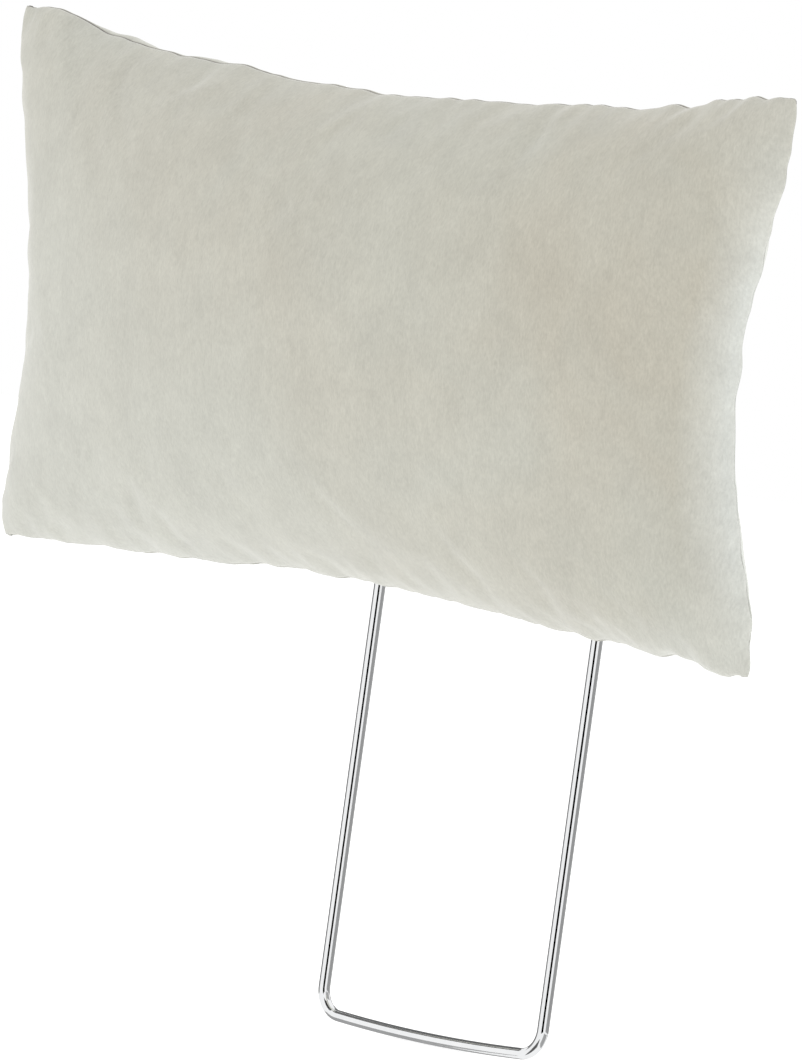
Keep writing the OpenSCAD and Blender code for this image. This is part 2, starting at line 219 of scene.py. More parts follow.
def simulate(front, back):
    """Cloth under pressure: both panels grow a little inside their fixed seam, which wrinkles them."""
    points, faces, hold, index_front, index_back = pillow_mesh(front, back)
    mesh = bpy.data.meshes.new("pillow_simulation")
    mesh.from_pydata(points.tolist(), [], faces)
    obj = bpy.data.objects.new("pillow_simulation", mesh)
    scene.collection.objects.link(obj)
    pins = obj.vertex_groups.new(name="pins")
    for i in np.nonzero(hold > 0.02)[0]:
        pins.add([int(i)], float(hold[i]), "REPLACE")
    cloth = obj.modifiers.new("cloth", "CLOTH")
    for name, value in CLOTH.items():
        setattr(cloth.settings, name, value)
    cloth.settings.effector_weights.gravity = 0
    cloth.collision_settings.use_collision = False
    cloth.point_cache.frame_start, cloth.point_cache.frame_end = 1, SIM_FRAMES
    scene.frame_start, scene.frame_end = 1, SIM_FRAMES
    for f in range(1, SIM_FRAMES + 1):
        scene.frame_set(f)
    done = obj.evaluated_get(bpy.context.evaluated_depsgraph_get()).to_mesh()
    places = np.zeros(len(points) * 3)
    done.vertices.foreach_get("co", places)
    moved = places.reshape(-1, 3) - points
    length = np.linalg.norm(moved, axis=1, keepdims=True)
    moved *= np.minimum(1, SIM_REACH / np.maximum(length, 1e-9))
    points = points + moved
    bpy.data.objects.remove(obj)
    scene.frame_set(1)
    return points[index_front], points[index_back]


def seam_puckers():
    """Edge (bottom, right, top, left), place along it, power, reach and slant of every pucker."""
    rng = np.random.default_rng(7)
    out = []
    for edge in range(4):
        n = 26 if edge % 2 == 0 else 15
        for k in range(n):
            out.append((edge, -1 + 2 * (k + rng.uniform(0.2, 0.8)) / n, rng.uniform(0.35, 1.0),
                        rng.uniform(0.010, 0.026), rng.uniform(-0.5, 0.5)))
    return out


PUCKERS = seam_puckers()
PUCKER_DEPTH = 0.16                            # share of the height that the deepest dent takes away
WAVE_HEIGHT = 2.4                              # mm


def pucker(grid):
    """Short dents that run in from the seam. They are weaker along the bottom edge."""
    for edge, place, power, reach, slant in PUCKERS:
        horizontal = edge % 2 == 0
        line = (-1 if edge in (0, 3) else 1)
        d = (1 - line * (VV if horizontal else UU)) * (HALF_H if horizontal else HALF_W)
        s = (UU if horizontal else VV) * (HALF_W if horizontal else HALF_H)
        s0 = place * (HALF_W if horizontal else HALF_H)
        width = 0.0032 + 0.12 * d
        dent = np.exp(-((s - s0 - slant * d) / width) ** 2) * np.exp(-(d / reach) ** 1.5)
        dent *= (1 - np.exp(-(d / 0.002))) * (0.5 if edge == 0 else 1)
        grid[..., 1] *= 1 - PUCKER_DEPTH * power * dent


def wave_seam(grid):
    """Small waves of the seam line, which are strongest on the right."""
    for j, i in np.argwhere((np.abs(UU) > 0.93) | (np.abs(VV) > 0.86)):
        edge_u, edge_v = smooth(0.93, 1, abs(UU[j, i])), smooth(0.86, 1, abs(VV[j, i]))
        x, z = grid[j, i, 0], grid[j, i, 2]
        wave = (noise.noise(Vector((x * 55, 3.1, z * 55))) * WAVE_HEIGHT
                + noise.noise(Vector((x * 110, 8.4, z * 110))) * WAVE_HEIGHT) * MM
        wave *= 0.6 + 0.4 * float(smooth(0.0, 0.9, UU[j, i]))
        grid[j, i, 0] += wave * float(edge_u) * np.sign(x)
        grid[j, i, 2] += wave * float(edge_v) * np.sign(z - HALF_H)


CASE_FRONT, CASE_BACK = 70 * MM, 50 * MM       # crowns of the inner cushion's case
CASE_PULL = 28 * MM                            # how far its sides pull in
CASE_W, CASE_H = 0.955, 0.93                   # its size, as a share of the cover's
CASE_ROOM = 1.2 * MM                           # the cover stays this far off it


def keep_outside_case(front, back):
    """Keeps the cover a little outside the inner cushion's case, whose CAD shape this repeats."""
    for grid, crown, dome, sign in ((front, CASE_FRONT, front_dome, -1), (back, CASE_BACK, back_dome, 1)):
        u, v = UU, VV
        for _ in range(3):
            top, low = TOP_SCOOP * (1 - np.abs(u) ** 3), BOTTOM_SCOOP * (1 - np.abs(u) ** 8)
            v = np.clip((grid[..., 2] - HALF_H) / (CASE_H * (HALF_H - np.where(v > 0, top, low))), -1, 1)
            u = np.clip(grid[..., 0] / (CASE_W * (HALF_W - CASE_PULL * (1 - v * v))), -1, 1)
        least = crown * dome(u, v) + CASE_ROOM * (dome(u, v) > 0)
        grid[..., 1] = sign * np.maximum(sign * grid[..., 1], least)


def pillow():
    """Points of the finished front and back over the grid of US and VS."""
    front, back = start_shape()
    cad_back, held = back.copy(), held_back()[..., None]
    front, back = simulate(front, back)
    for grid in (front, back):
        pucker(grid)
        wave_seam(grid)
    keep_outside_case(front, back)
    back = cad_back * held + back * (1 - held)
    front[..., 1] -= SEAM_RIM
    back[..., 1] += SEAM_RIM
    back[..., 0] -= SEAM_ROLL * smooth(0.9, 1, UU)
    return {"front": front, "back": back}


SURFACE = pillow()


def on_surface(side, u, v):
    """Points on a panel of the cover, in the cushion's frame, for any u and v."""
    grid = SURFACE[side]
    u, v = np.broadcast_arrays(np.asarray(u, float), np.asarray(v, float))
    fi = np.interp(u, US, np.arange(len(US)))
    fj = np.interp(v, VS, np.arange(len(VS)))
    i, j = np.minimum(fi.astype(int), len(US) - 2), np.minimum(fj.astype(int), len(VS) - 2)
    a, b = (fi - i)[..., None], (fj - j)[..., None]
    return ((grid[j, i] * (1 - a) + grid[j, i + 1] * a) * (1 - b)
            + (grid[j + 1, i] * (1 - a) + grid[j + 1, i + 1] * a) * b)


def v_of(z):
    """v of a height in the middle of the cushion."""
    z = np.asarray(z, float)
    return (z - HALF_H) / (HALF_H - np.where(z > HALF_H, TOP_SCOOP, BOTTOM_SCOOP))


# ---------- mesh helpers ----------
def make(name, points, faces, body, node, material):
    mesh = bpy.data.meshes.new(name)
    mesh.from_pydata(np.asarray(points).reshape(-1, 3).tolist(), [], faces)
    mesh.update()
    mesh.shade_smooth()
    obj = bpy.data.objects.new(name, mesh)
    scene.collection.objects.link(obj)
    mesh.materials.append(material)
    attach(obj, body)
    if node:
        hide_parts(node)
    return obj


def quads(rows, cols, around=False, across=False, flip=False):
    """Faces of a grid of rows x cols points; around closes the rows on themselves, across the columns."""
    out = []
    for j in range(rows if across else rows - 1):
        for i in range(cols if around else cols - 1):
            q = [j * cols + i, j * cols + (i + 1) % cols,
                 (j + 1) % rows * cols + (i + 1) % cols, (j + 1) % rows * cols + i]
            out.append(q[::-1] if flip else q)
    return out


def thicken(obj, thickness, levels=1):
    """Gives a sheet its thickness, inwards, and subdivides it."""
    solid = obj.modifiers.new("thickness", "SOLIDIFY")
    solid.thickness, solid.offset = thickness, -1
    if levels:
        sub = obj.modifiers.new("subdivision", "SUBSURF")
        sub.levels = sub.render_levels = levels
    return obj


RINGS = 2
RING_INSET = (0.9 * MM, 4.5 * MM)


def rolled(grid, depth):
    """Adds two rings of points round a panel, which turn its edges in at a depth from the seam plane."""
    rows, cols = grid.shape[:2]
    out = np.zeros((rows + 2 * RINGS, cols + 2 * RINGS, 3))
    for a in range(rows + 2 * RINGS):
        for b in range(cols + 2 * RINGS):
            j, i = a - RINGS, b - RINGS
            p = grid[min(max(j, 0), rows - 1), min(max(i, 0), cols - 1)].copy()
            out_j, out_i = max(-j, j - rows + 1, 0), max(-i, i - cols + 1, 0)
            level = max(out_j, out_i)
            if level:
                inset = RING_INSET[level - 1]
                if out_i:
                    p[0] -= np.sign(p[0]) * inset * (1 if out_i == level else 0.3)
                if out_j:
                    p[2] -= np.sign(p[2] - HALF_H) * inset * (1 if out_j == level else 0.3)
                p[1] = depth
            out[a, b] = p
    return out


def tube(centres, radii, sides, up):
    """Rings round an open line of points, closed at both ends."""
    centres = np.asarray(centres, float)
    heading = np.gradient(centres, axis=0)
    heading /= np.linalg.norm(heading, axis=1, keepdims=True)
    side = np.cross(heading, np.asarray(up, float))
    side /= np.linalg.norm(side, axis=1, keepdims=True)
    rise = np.cross(side, heading)
    a = np.linspace(0, 2 * math.pi, sides, endpoint=False)
    rings = centres[:, None] + np.asarray(radii)[:, None, None] * (
        np.cos(a)[None, :, None] * side[:, None] + np.sin(a)[None, :, None] * rise[:, None])
    n = len(centres)
    faces = quads(n, sides, around=True)
    faces += [list(range(sides))[::-1], list(range((n - 1) * sides, n * sides))]
    return rings.reshape(-1, 3), faces


def join(parts):
    """One set of points and faces from many."""
    points, faces, base = [], [], 0
    for p, f in parts:
        points.append(p)
        faces += [[i + base for i in q] for q in f]
        base += len(p)
    return np.concatenate(points), faces


def stitches(path, normals, pitch, length, radius):
    """Thread stitches along a path: each rises out of the cloth and goes down again."""
    path, normals = np.asarray(path, float), np.asarray(normals, float)
    run = np.concatenate([[0], np.cumsum(np.linalg.norm(np.diff(path, axis=0), axis=1))])
    parts = []
    for k in range(int(run[-1] / pitch)):
        s = pitch * (k + 0.5) + np.linspace(-0.5, 0.5, 7) * length
        p = np.stack([np.interp(s, run, path[:, c]) for c in range(3)], -1)
        n = np.stack([np.interp(s, run, normals[:, c]) for c in range(3)], -1)
        arch = 1 - np.linspace(-1, 1, 7) ** 4
        p = p + n * ((arch - 0.75) * radius * 1.7)[:, None]
        parts.append(tube(p, radius * (0.55 + 0.45 * arch), 6, n[3]))
    return join(parts)


# ---------- materials ----------
def material(name, colour, roughness, metallic=0.0, specular=0.5, sheen=None):
    m = bpy.data.materials.new(name)
    m.use_nodes = True
    nt = m.node_tree
    b = nt.nodes["Principled BSDF"]
    b.inputs["Base Color"].default_value = (*colour, 1)
    b.inputs["Roughness"].default_value = roughness
    b.inputs["Metallic"].default_value = metallic
    b.inputs["Specular IOR Level"].default_value = specular
    if sheen:
        b.inputs["Sheen Weight"].default_value = sheen[0]
        b.inputs["Sheen Roughness"].default_value = sheen[1]
        b.inputs["Sheen Tint"].default_value = (*sheen[2], 1)
    return m, nt, b


def coords(nt, scale=(1, 1, 1)):
    tc = nt.nodes.new("ShaderNodeTexCoord")
    mp = nt.nodes.new("ShaderNodeMapping")
    mp.inputs["Scale"].default_value = scale
    nt.links.new(tc.outputs["Object"], mp.inputs["Vector"])
    return mp.outputs["Vector"]


def noise_tex(nt, vector, scale, detail=3, rough=0.5, distortion=0):
    n = nt.nodes.new("ShaderNodeTexNoise")
    n.inputs["Scale"].default_value = scale
    n.inputs["Detail"].default_value = detail
    n.inputs["Roughness"].default_value = rough
    n.inputs["Distortion"].default_value = distortion
    nt.links.new(vector, n.inputs["Vector"])
    return n.outputs["Fac"]


def remap(nt, value, a, b, lo=0.0, hi=1.0):
    n = nt.nodes.new("ShaderNodeMapRange")
    n.inputs["From Min"].default_value, n.inputs["From Max"].default_value = a, b
    n.inputs["To Min"].default_value, n.inputs["To Max"].default_value = lo, hi
    nt.links.new(value, n.inputs["Value"])
    return n.outputs["Result"]


def math_node(nt, operation, a, b=0.0):
    node = nt.nodes.new("ShaderNodeMath")
    node.operation = operation
    nt.links.new(a, node.inputs[0])
    if isinstance(b, float):
        node.inputs[1].default_value = b
    else:
        nt.links.new(b, node.inputs[1])
    return node.outputs[0]


def along(nt, vector, direction, start):
    """Distance of a point along a direction, plus a constant."""
    dot = nt.nodes.new("ShaderNodeVectorMath")
    dot.operation = "DOT_PRODUCT"
    nt.links.new(vector, dot.inputs[0])
    dot.inputs[1].default_value = direction
    return math_node(nt, "ADD", dot.outputs["Value"], float(start))


def mix_colour(nt, factor, a, b, mode="MIX"):
    """Mixes two colours; the factor and either colour can be a value or the output of a node."""
    n = nt.nodes.new("ShaderNodeMix")
    n.data_type, n.blend_type = "RGBA", mode
    for socket, value in ((n.inputs["Factor"], factor), (n.inputs["A"], a), (n.inputs["B"], b)):
        target = socket
        if socket.name in "AB":
            target = [i for i in n.inputs if i.name == socket.name and i.type == "RGBA"][0]
        if isinstance(value, (int, float)):
            target.default_value = value
        elif isinstance(value, tuple):
            target.default_value = (*value, 1)
        else:
            nt.links.new(value, target)
    return [o for o in n.outputs if o.type == "RGBA"][0]


def shade(nt, colour, value, *steps):
    """Multiplies a colour by a brightness, which remap makes from a value with the given steps."""
    brightness = remap(nt, value, *steps)
    n = nt.nodes.new("ShaderNodeCombineColor")
    for k in range(3):
        nt.links.new(brightness, n.inputs[k])
    return mix_colour(nt, 1.0, colour, n.outputs[0], "MULTIPLY")


def bump(nt, b, height, strength, distance, before=None):
    n = nt.nodes.new("ShaderNodeBump")
    n.inputs["Strength"].default_value = strength
    n.inputs["Distance"].default_value = distance
    nt.links.new(height, n.inputs["Height"])
    if before:
        nt.links.new(before, n.inputs["Normal"])
    nt.links.new(n.outputs["Normal"], b.inputs["Normal"])
    return n.outputs["Normal"]


VELVET_PLAIN = (0.5, 0.5, 0.45)                                # for a viewer that can't read the nodes
WARM, COOL = (0.447, 0.425, 0.358), (0.462, 0.457, 0.398)      # the velvet's two tones
LOWER_LEFT_LIGHT = (0.500, 0.502, 0.452)                               # painted light: paler towards the lower left
PAINTED_SHEEN = (0.565, 0.577, 0.540)                               # painted sheen where the cloth turns over the seams
SEAM_SHADE = (0.17, 0.15, 0.15)                                # in the groove between the two edges
VELVET_SHEEN = (0.5, 0.45, (1, 1, 0.98))                       # weight, roughness, tint


def velvet():
    m, nt, b = material("velvet", VELVET_PLAIN, 0.92, specular=0.12, sheen=VELVET_SHEEN)
    plain = coords(nt)
    large = remap(nt, noise_tex(nt, plain, 7, 3, 0.55, 0.4), 0.36, 0.66)
    patch = remap(nt, noise_tex(nt, plain, 34, 5, 0.62, 0.6), 0.34, 0.68)
    nap = noise_tex(nt, coords(nt, (1, 0.3, 0.5)), 260, 4, 0.7)
    fibre = noise_tex(nt, coords(nt, (1, 0.4, 0.35)), 1100, 2, 0.6)
    # how far a point is from the seam plane, from the cushion's middle height and to the right
    depth = math_node(nt, "ABSOLUTE", along(nt, plain, (0, COS, SIN), REACH * COS - DROP * SIN))
    height = along(nt, plain, (0, 0, 1), -0.36)
    right = along(nt, plain, (1, 0, 0), 0)
    # painted light: the colour turns paler towards the lower left
    lower_left_light = remap(nt, along(nt, plain, (1, 0, 1.6), 0), 0.85, 0.25)
    # painted sheen: the colour is palest near the seams, least on the left and in the corners
    sheen_mask = remap(nt, depth, 25 * MM, 5 * MM)
    not_left = remap(nt, right, 0.12, 0.24, 0.25, 1.0)
    not_corner = remap(nt, math_node(nt, "ABSOLUTE", height), 0.15, 0.07, 0.3, 1.0)
    sheen_mask = math_node(nt, "MULTIPLY", math_node(nt, "MULTIPLY", sheen_mask, not_left), not_corner)
    # the cloth is in its own shade where its two edges meet in the seam, most of all along the top
    groove = math_node(nt, "MULTIPLY", remap(nt, depth, 1.1 * MM, 0.6 * MM, 0.0, 0.7),
                       remap(nt, height, 0.05, 0.12, 0.25, 1.0))
    colour = mix_colour(nt, large, WARM, COOL)
    for factor, tone in ((lower_left_light, LOWER_LEFT_LIGHT), (sheen_mask, PAINTED_SHEEN), (groove, SEAM_SHADE)):
        colour = mix_colour(nt, factor, colour, tone)
    colour = shade(nt, colour, patch, 0, 1, 0.955, 1.03)
    colour = shade(nt, colour, nap, 0.3, 0.7, 0.955, 1.035)
    colour = shade(nt, colour, fibre, 0.3, 0.7, 0.93, 1.06)
    nt.links.new(colour, b.inputs["Base Color"])
    nt.links.new(remap(nt, patch, 0, 1, 0.84, 0.97), b.inputs["Roughness"])
    bump(nt, b, nap, 0.30, 0.6 * MM, before=bump(nt, b, fibre, 0.35, 0.35 * MM))
    return m


def chrome():
    m, nt, b = material("chromed_wire", (0.86, 0.87, 0.88), 0.07, metallic=1.0)
    streak = noise_tex(nt, coords(nt, (1, 1, 0.25)), 60, 4, 0.6)
    nt.links.new(remap(nt, streak, 0.3, 0.7, 0.04, 0.12), b.inputs["Roughness"])
    nt.links.new(mix_colour(nt, remap(nt, streak, 0.3, 0.7), (0.84, 0.85, 0.86), (0.90, 0.905, 0.91)),
                 b.inputs["Base Color"])
    bump(nt, b, noise_tex(nt, coords(nt), 24, 2, 0.5), 0.04, 0.4 * MM)
    return m


def woven(name, dark, light, pitch, roughness=0.85):
    """A woven tape or ribbon, its threads a given pitch apart."""
    m, nt, b = material(name, light, roughness, specular=0.2, sheen=(0.1, 0.5, (1, 1, 1)))
    threads = []
    for axis in ("X", "Z"):
        w = nt.nodes.new("ShaderNodeTexWave")
        w.bands_direction = axis
        w.inputs["Scale"].default_value = 0.314 / pitch
        w.inputs["Distortion"].default_value = 1.2
        w.inputs["Detail"].default_value = 1
        nt.links.new(coords(nt), w.inputs["Vector"])
        threads.append(w.outputs["Fac"])
    weave = math_node(nt, "MULTIPLY", *threads)
    colour = mix_colour(nt, weave, dark, light)
    colour = shade(nt, colour, noise_tex(nt, coords(nt), 120, 4), 0.3, 0.7, 0.93, 1.04)
    nt.links.new(colour, b.inputs["Base Color"])
    bump(nt, b, weave, 0.5, 0.2 * MM)
    return m


def fibrous(name, dark, light, scale, roughness, strength, metallic=0.0):
    """A noise-coloured finish: wadding, foam, non-woven case, thread or cast metal."""
    m, nt, b = material(name, light, roughness, metallic=metallic, specular=0.3)
    n = noise_tex(nt, coords(nt), scale, 5, 0.65)
    nt.links.new(mix_colour(nt, remap(nt, n, 0.3, 0.7), dark, light), b.inputs["Base Color"])
    nt.links.new(remap(nt, n, 0.3, 0.7, roughness * 0.85, min(1, roughness * 1.15)), b.inputs["Roughness"])
    bump(nt, b, n, strength, 0.4 * MM)
    return m


VELVET = velvet()
CHROME = chrome()
TAPE = woven("binding_tape", (0.36, 0.34, 0.29), (0.52, 0.50, 0.44), 0.9 * MM)
ZIP_TAPE = woven("zip_tape", (0.38, 0.365, 0.32), (0.55, 0.53, 0.47), 0.6 * MM)
LABEL = woven("label_ribbon", (0.50, 0.50, 0.49), (0.70, 0.70, 0.68), 0.5 * MM, 0.6)
THREAD = fibrous("thread", (0.40, 0.385, 0.33), (0.56, 0.545, 0.48), 1500, 0.7, 0.4)
COIL = fibrous("zip_coil", (0.40, 0.385, 0.33), (0.50, 0.485, 0.43), 600, 0.38, 0.1)
METAL = fibrous("zip_metal", (0.52, 0.52, 0.53), (0.68, 0.68, 0.69), 260, 0.28, 0.08, 1.0)
CASE = fibrous("inner_case", (0.80, 0.80, 0.78), (0.90, 0.90, 0.88), 420, 0.85, 0.3)
WADDING = fibrous("fibre_wadding", (0.84, 0.84, 0.83), (0.95, 0.95, 0.94), 150, 0.95, 0.8)
FOAM = fibrous("foam", (0.74, 0.66, 0.42), (0.90, 0.83, 0.60), 900, 0.9, 0.6)


# ---------- cover ----------
def zip_slope():
    """Slope of the back where the zip lies on it, from the seam plane."""
    step = 0.01
    up, down = (float(back_dome(np.array(0.0), np.array(ZIP_V + d))) for d in (step, -step))
    return math.atan2(BACK_CROWN * (up - down), 2 * step * (HALF_H - BOTTOM_SCOOP))


ZIP_SLOPE = zip_slope()
# Insets from the zip and depths under the cloth of the two rings of points that turn a free edge in.
FREE_EDGE = ((6 * MM, 2.0 * MM), (0.5 * MM, 1.3 * MM))


def front_cover():
    grid = to_row(rolled(SURFACE["front"], -SEAM_GAP))
    obj = make("front_cover", grid, quads(*grid.shape[:2]), "cushion", "front_panel", VELVET)
    thicken(obj, COVER_T)


def zip_opening(u):
    """Half the slit between the two fabric edges, in v. Beyond the zip the edges press together."""
    au = np.abs(u)
    slit = ZIP_GAP * math.cos(ZIP_SLOPE) / (HALF_H - BOTTOM_SCOOP) * (1 - smooth(0.635, 0.69, au))
    return slit + 0.0008 - 0.0030 * smooth(0.67, 0.72, au) - 0.0035 * smooth(0.96, 0.99, au)


def back_part(name, node, low, high, share):
    """The back between two lines of v; share says how its rows are spread. Its edge at the zip turns in."""
    v = low[None] + (high - low)[None] * share[:, None]
    grid = rolled(on_surface("back", np.broadcast_to(US[None], v.shape), v), SEAM_GAP)
    inner = slice(RINGS, grid.shape[1] - RINGS)
    edges = ((low[0] > -1, (0, 1), RINGS, 1), (high[0] < 1, (-1, -2), -RINGS - 1, -1))
    for free, rings, edge, inwards in edges:
        if free:
            for ring, (inset, depth) in zip(rings, FREE_EDGE):
                grid[ring, inner] = grid[edge, inner]
                grid[ring, inner, 1] -= depth
                grid[ring, inner, 2] += inset * inwards
    grid = to_row(grid)
    obj = make(name, grid, quads(*grid.shape[:2], flip=True), "cushion", node, VELVET)
    thicken(obj, COVER_T)


def back_covers():
    gap = zip_opening(US)
    top, bottom = np.ones_like(US), -np.ones_like(US)
    back_rows = (np.sin(np.linspace(0, math.pi / 2, 64)) + np.linspace(0, 1, 64)) / 2
    hem_rows = 1 - np.cos(np.linspace(0, math.pi / 2, 12))
    back_part("back_cover", "back_panel", ZIP_V + gap, top, back_rows)
    back_part("hem_cover", "back_hem", bottom, ZIP_V - gap, hem_rows)


# ---------- pocket ----------
RIDGE_ROOM = 0.6 * MM                          # the pocket is off the wire by this much
POCKET_SAG, POCKET_WRINKLE = 2.2 * MM, 0.7 * MM
POCKET_HEM = 1.1 * MM                          # drop of the border where it rolls under
POCKET_SHEET_T = 1.0 * MM                      # its cloth without the nap
STITCH = (3.4 * MM, 2.7 * MM, 0.28 * MM)       # pitch, length and radius of the thread
FINE_STITCH = (3.0 * MM, 2.4 * MM, 0.26 * MM)
# Section of the tape that folds over the pocket's mouth: mm up from the mouth and out from the inner face.
BINDING = ((10, 1.75), (9.6, 2.15), (5, 2.2), (0.6, 2.1), (-0.5, 1.7), (-0.9, 0.7), (-0.5, -0.3), (0.6, -0.5),
           (5, -0.5), (8, -0.5), (8, 0.0), (5, 0.2), (1, 0.2))
BINDING_ENDS = 0.002                           # how far it reaches past the side seams, in u


def pocket_height(u, z):
    """Inner face of the pocket over the seam plane: taut over the wire, and down on the back at its seams."""
    v = v_of(z)
    p = on_surface("back", u, v)
    x, base = p[..., 0], p[..., 1] + 0.4 * MM
    seam_x = on_surface("back", SEAM_U, v)[..., 0]
    ridge = LEG_X + WIRE_R + RIDGE_ROOM
    tx = np.clip((np.abs(x) - ridge) / (seam_x - ridge), 0, 1)
    tz = np.clip((z - BAR_Z - WIRE_R - RIDGE_ROOM) / (POCKET_TOP - BAR_Z - WIRE_R), 0, 1)
    t = np.clip((tx ** 5 + tz ** 5) ** 0.2, 0, 1)
    inside = np.clip(1 - (x / LEG_X) ** 2, 0, 1) * np.clip((BAR_Z - z) / (40 * MM), 0, 1)
    wrinkle = np.array([noise.noise(Vector((a * 30, 1.7, b * 9))) for a, b in zip(x.ravel(), z.ravel())])
    sag = POCKET_SAG * inside ** 0.7 + POCKET_WRINKLE * inside * wrinkle.reshape(x.shape)
    y = (POCKET_IN - sag) * (1 - t) + base * t
    return np.stack([x, np.maximum(y, base), p[..., 2]], -1)


def pocket():
    u = np.concatenate([np.linspace(-SEAM_U, -0.25, 22), np.linspace(-0.24, 0.24, 24),
                        np.linspace(0.25, SEAM_U, 22)])
    z = np.concatenate([np.linspace(MOUTH_Z, 185 * MM, 30), np.linspace(188 * MM, POCKET_TOP, 22)])
    grid = pocket_height(*np.meshgrid(u, z))
    grid[..., 1] += POCKET_T
    # seam allowance: the border rolls under on its three sewn sides
    rim = grid.copy()
    for part in (rim[:, 0], rim[:, -1], rim[-1, :]):
        part[:, 1] -= POCKET_HEM
    grid = np.concatenate([rim[:, :1], grid, rim[:, -1:]], 1)
    grid = np.concatenate([grid, grid[-1:] - [0, POCKET_HEM, 0]], 0)
    obj = make("pocket", to_row(grid), quads(*grid.shape[:2], flip=True), "cushion",
               "pocket_panel", VELVET)
    thicken(obj, POCKET_SHEET_T)
    return obj, grid


def pocket_stitching():
    """A line of topstitching along the pocket's three sewn sides."""
    inset = 3.4 * MM
    u_in, z_in = SEAM_U - inset / HALF_W, POCKET_TOP - inset
    up, across = np.linspace(MOUTH_Z + 3 * MM, z_in, 60), np.linspace(-u_in, u_in, 80)
    left = pocket_height(np.full_like(up, -u_in), up)
    top = pocket_height(across, np.full_like(across, z_in))
    right = pocket_height(np.full_like(up, u_in), up)[::-1]
    parts = []
    for leg, normal in ((left, (-0.55, 0.85, 0)), (top, (0, 0.85, 0.5)), (right, (0.55, 0.85, 0))):
        leg[:, 1] += POCKET_T + 0.05 * MM
        parts.append(stitches(leg, np.broadcast_to(normal, leg.shape), *STITCH))
    points, faces = join(parts)
    make("pocket_stitching", to_row(points), faces, "cushion", None, THREAD)


def binding():
    """Tape folded over the pocket's mouth, with its own line of stitches."""
    u = np.linspace(-SEAM_U - BINDING_ENDS, SEAM_U + BINDING_ENDS, 70)
    rows = []
    for dz, dy in BINDING:
        p = pocket_height(u, np.full_like(u, MOUTH_Z + max(dz, 0) * MM))
        p[:, 1] += dy * MM
        p[:, 2] += min(dz, 0) * MM
        rows.append(p)
    grid = np.array(rows)
    obj = make("pocket_binding_tape", to_row(grid), quads(*grid.shape[:2]), "cushion",
               "pocket_binding", TAPE)
    line = pocket_height(u[1:-1], np.full(len(u) - 2, MOUTH_Z + 7.5 * MM))
    line[:, 1] += 2.25 * MM
    points, faces = stitches(line, np.broadcast_to([0, 1.0, 0], line.shape), *FINE_STITCH)
    sewn = make("binding_stitching", to_row(points), faces, "cushion", None, THREAD)
    return obj, sewn


def tacks():
    """Dense zigzag bar tacks where the mouth's corners are sewn down."""
    turns, pitch, slant, n = 16, 0.6 * MM, 0.3, 9
    arch = 1 - np.linspace(-1, 1, n) ** 4
    parts = []
    for side in (-1, 1):
        for k in range(turns):
            us = side * np.linspace(SEAM_U - 0.004, SEAM_U + 0.011, n)
            zs = MOUTH_Z + 0.2 * MM + k * pitch + np.linspace(-slant, slant, n) * MM * (1 if k % 2 else -1)
            p = on_surface("back", us, v_of(zs))
            over_tape = side * us < SEAM_U + BINDING_ENDS
            p[:, 1] += 0.35 * MM + 0.75 * MM * arch + np.where(over_tape, 1.3 * MM, 0)
            parts.append(tube(p, np.full(n, 0.33 * MM), 6, (0, 1, 0)))
    points, faces = join(parts)
    return make("mouth_bar_tacks", to_row(points), faces, "cushion", "bar_tacks", THREAD)


def label():
    """A blank care label, sewn in beside the pocket and lifting a little at its free end."""
    u = np.linspace(SEAM_U + 0.003, SEAM_U + 0.09, 16)
    z = np.linspace(132 * MM, 172 * MM, 22)
    uu, zz = np.meshgrid(u, z)
    p = on_surface("back", uu, v_of(zz))
    t = (uu - u[0]) / (u[-1] - u[0])
    p[..., 1] += 0.75 * MM + 1.6 * MM * t ** 2 * (0.6 + 0.4 * np.sin(zz * 90))
    obj = make("care_label_ribbon", to_row(p), quads(*p.shape[:2], flip=True), "cushion",
               "care_label", LABEL)
    thicken(obj, 0.35 * MM)
    return obj, p


# ---------- zip ----------
ZIP_Y = BACK_CROWN * float(back_dome(np.array(0.5), np.array(ZIP_V)))
ZIP_Z = ZIP_V * (HALF_H - BOTTOM_SCOOP) + HALF_H
ZIP_UP = np.array([0, math.sin(ZIP_SLOPE), math.cos(ZIP_SLOPE)])
ZIP_OUT = np.array([0, math.cos(ZIP_SLOPE), -math.sin(ZIP_SLOPE)])
TAPE_ENDS = 6 * MM                             # how far the tapes reach past the coils
TAPE_DEPTH, COIL_DEPTH = -3.45 * MM, -2.35 * MM
COIL_PITCH = 1.25 * MM


def on_zip(p):
    """Points of the zip's frame (x along it, y up across it, z out) in the cushion's frame."""
    p = np.asarray(p, float)
    return (np.array([0, ZIP_Y, ZIP_Z]) + p[..., :1] * [1, 0, 0]
            + p[..., 1:2] * ZIP_UP + p[..., 2:3] * ZIP_OUT)


def zip_tape(word, side):
    x = np.linspace(-ZIP_L / 2 - TAPE_ENDS, ZIP_L / 2 + TAPE_ENDS, 120)
    y = np.array([0.75, 1.5, 3, 5, 7, 8.8]) * MM
    xx, yy = np.meshgrid(x, y)
    zz = TAPE_DEPTH + 0.05 * MM * np.sin(xx * 400) * (yy / y[-1])
    grid = to_row(on_zip(np.stack([xx, side * yy, zz], -1)))
    tape = make(f"zip_tape_{word}_strip", grid, quads(*grid.shape[:2], flip=side > 0), "cushion",
                f"zip_tape_{word}", ZIP_TAPE)
    thicken(tape, 0.5 * MM, 0)


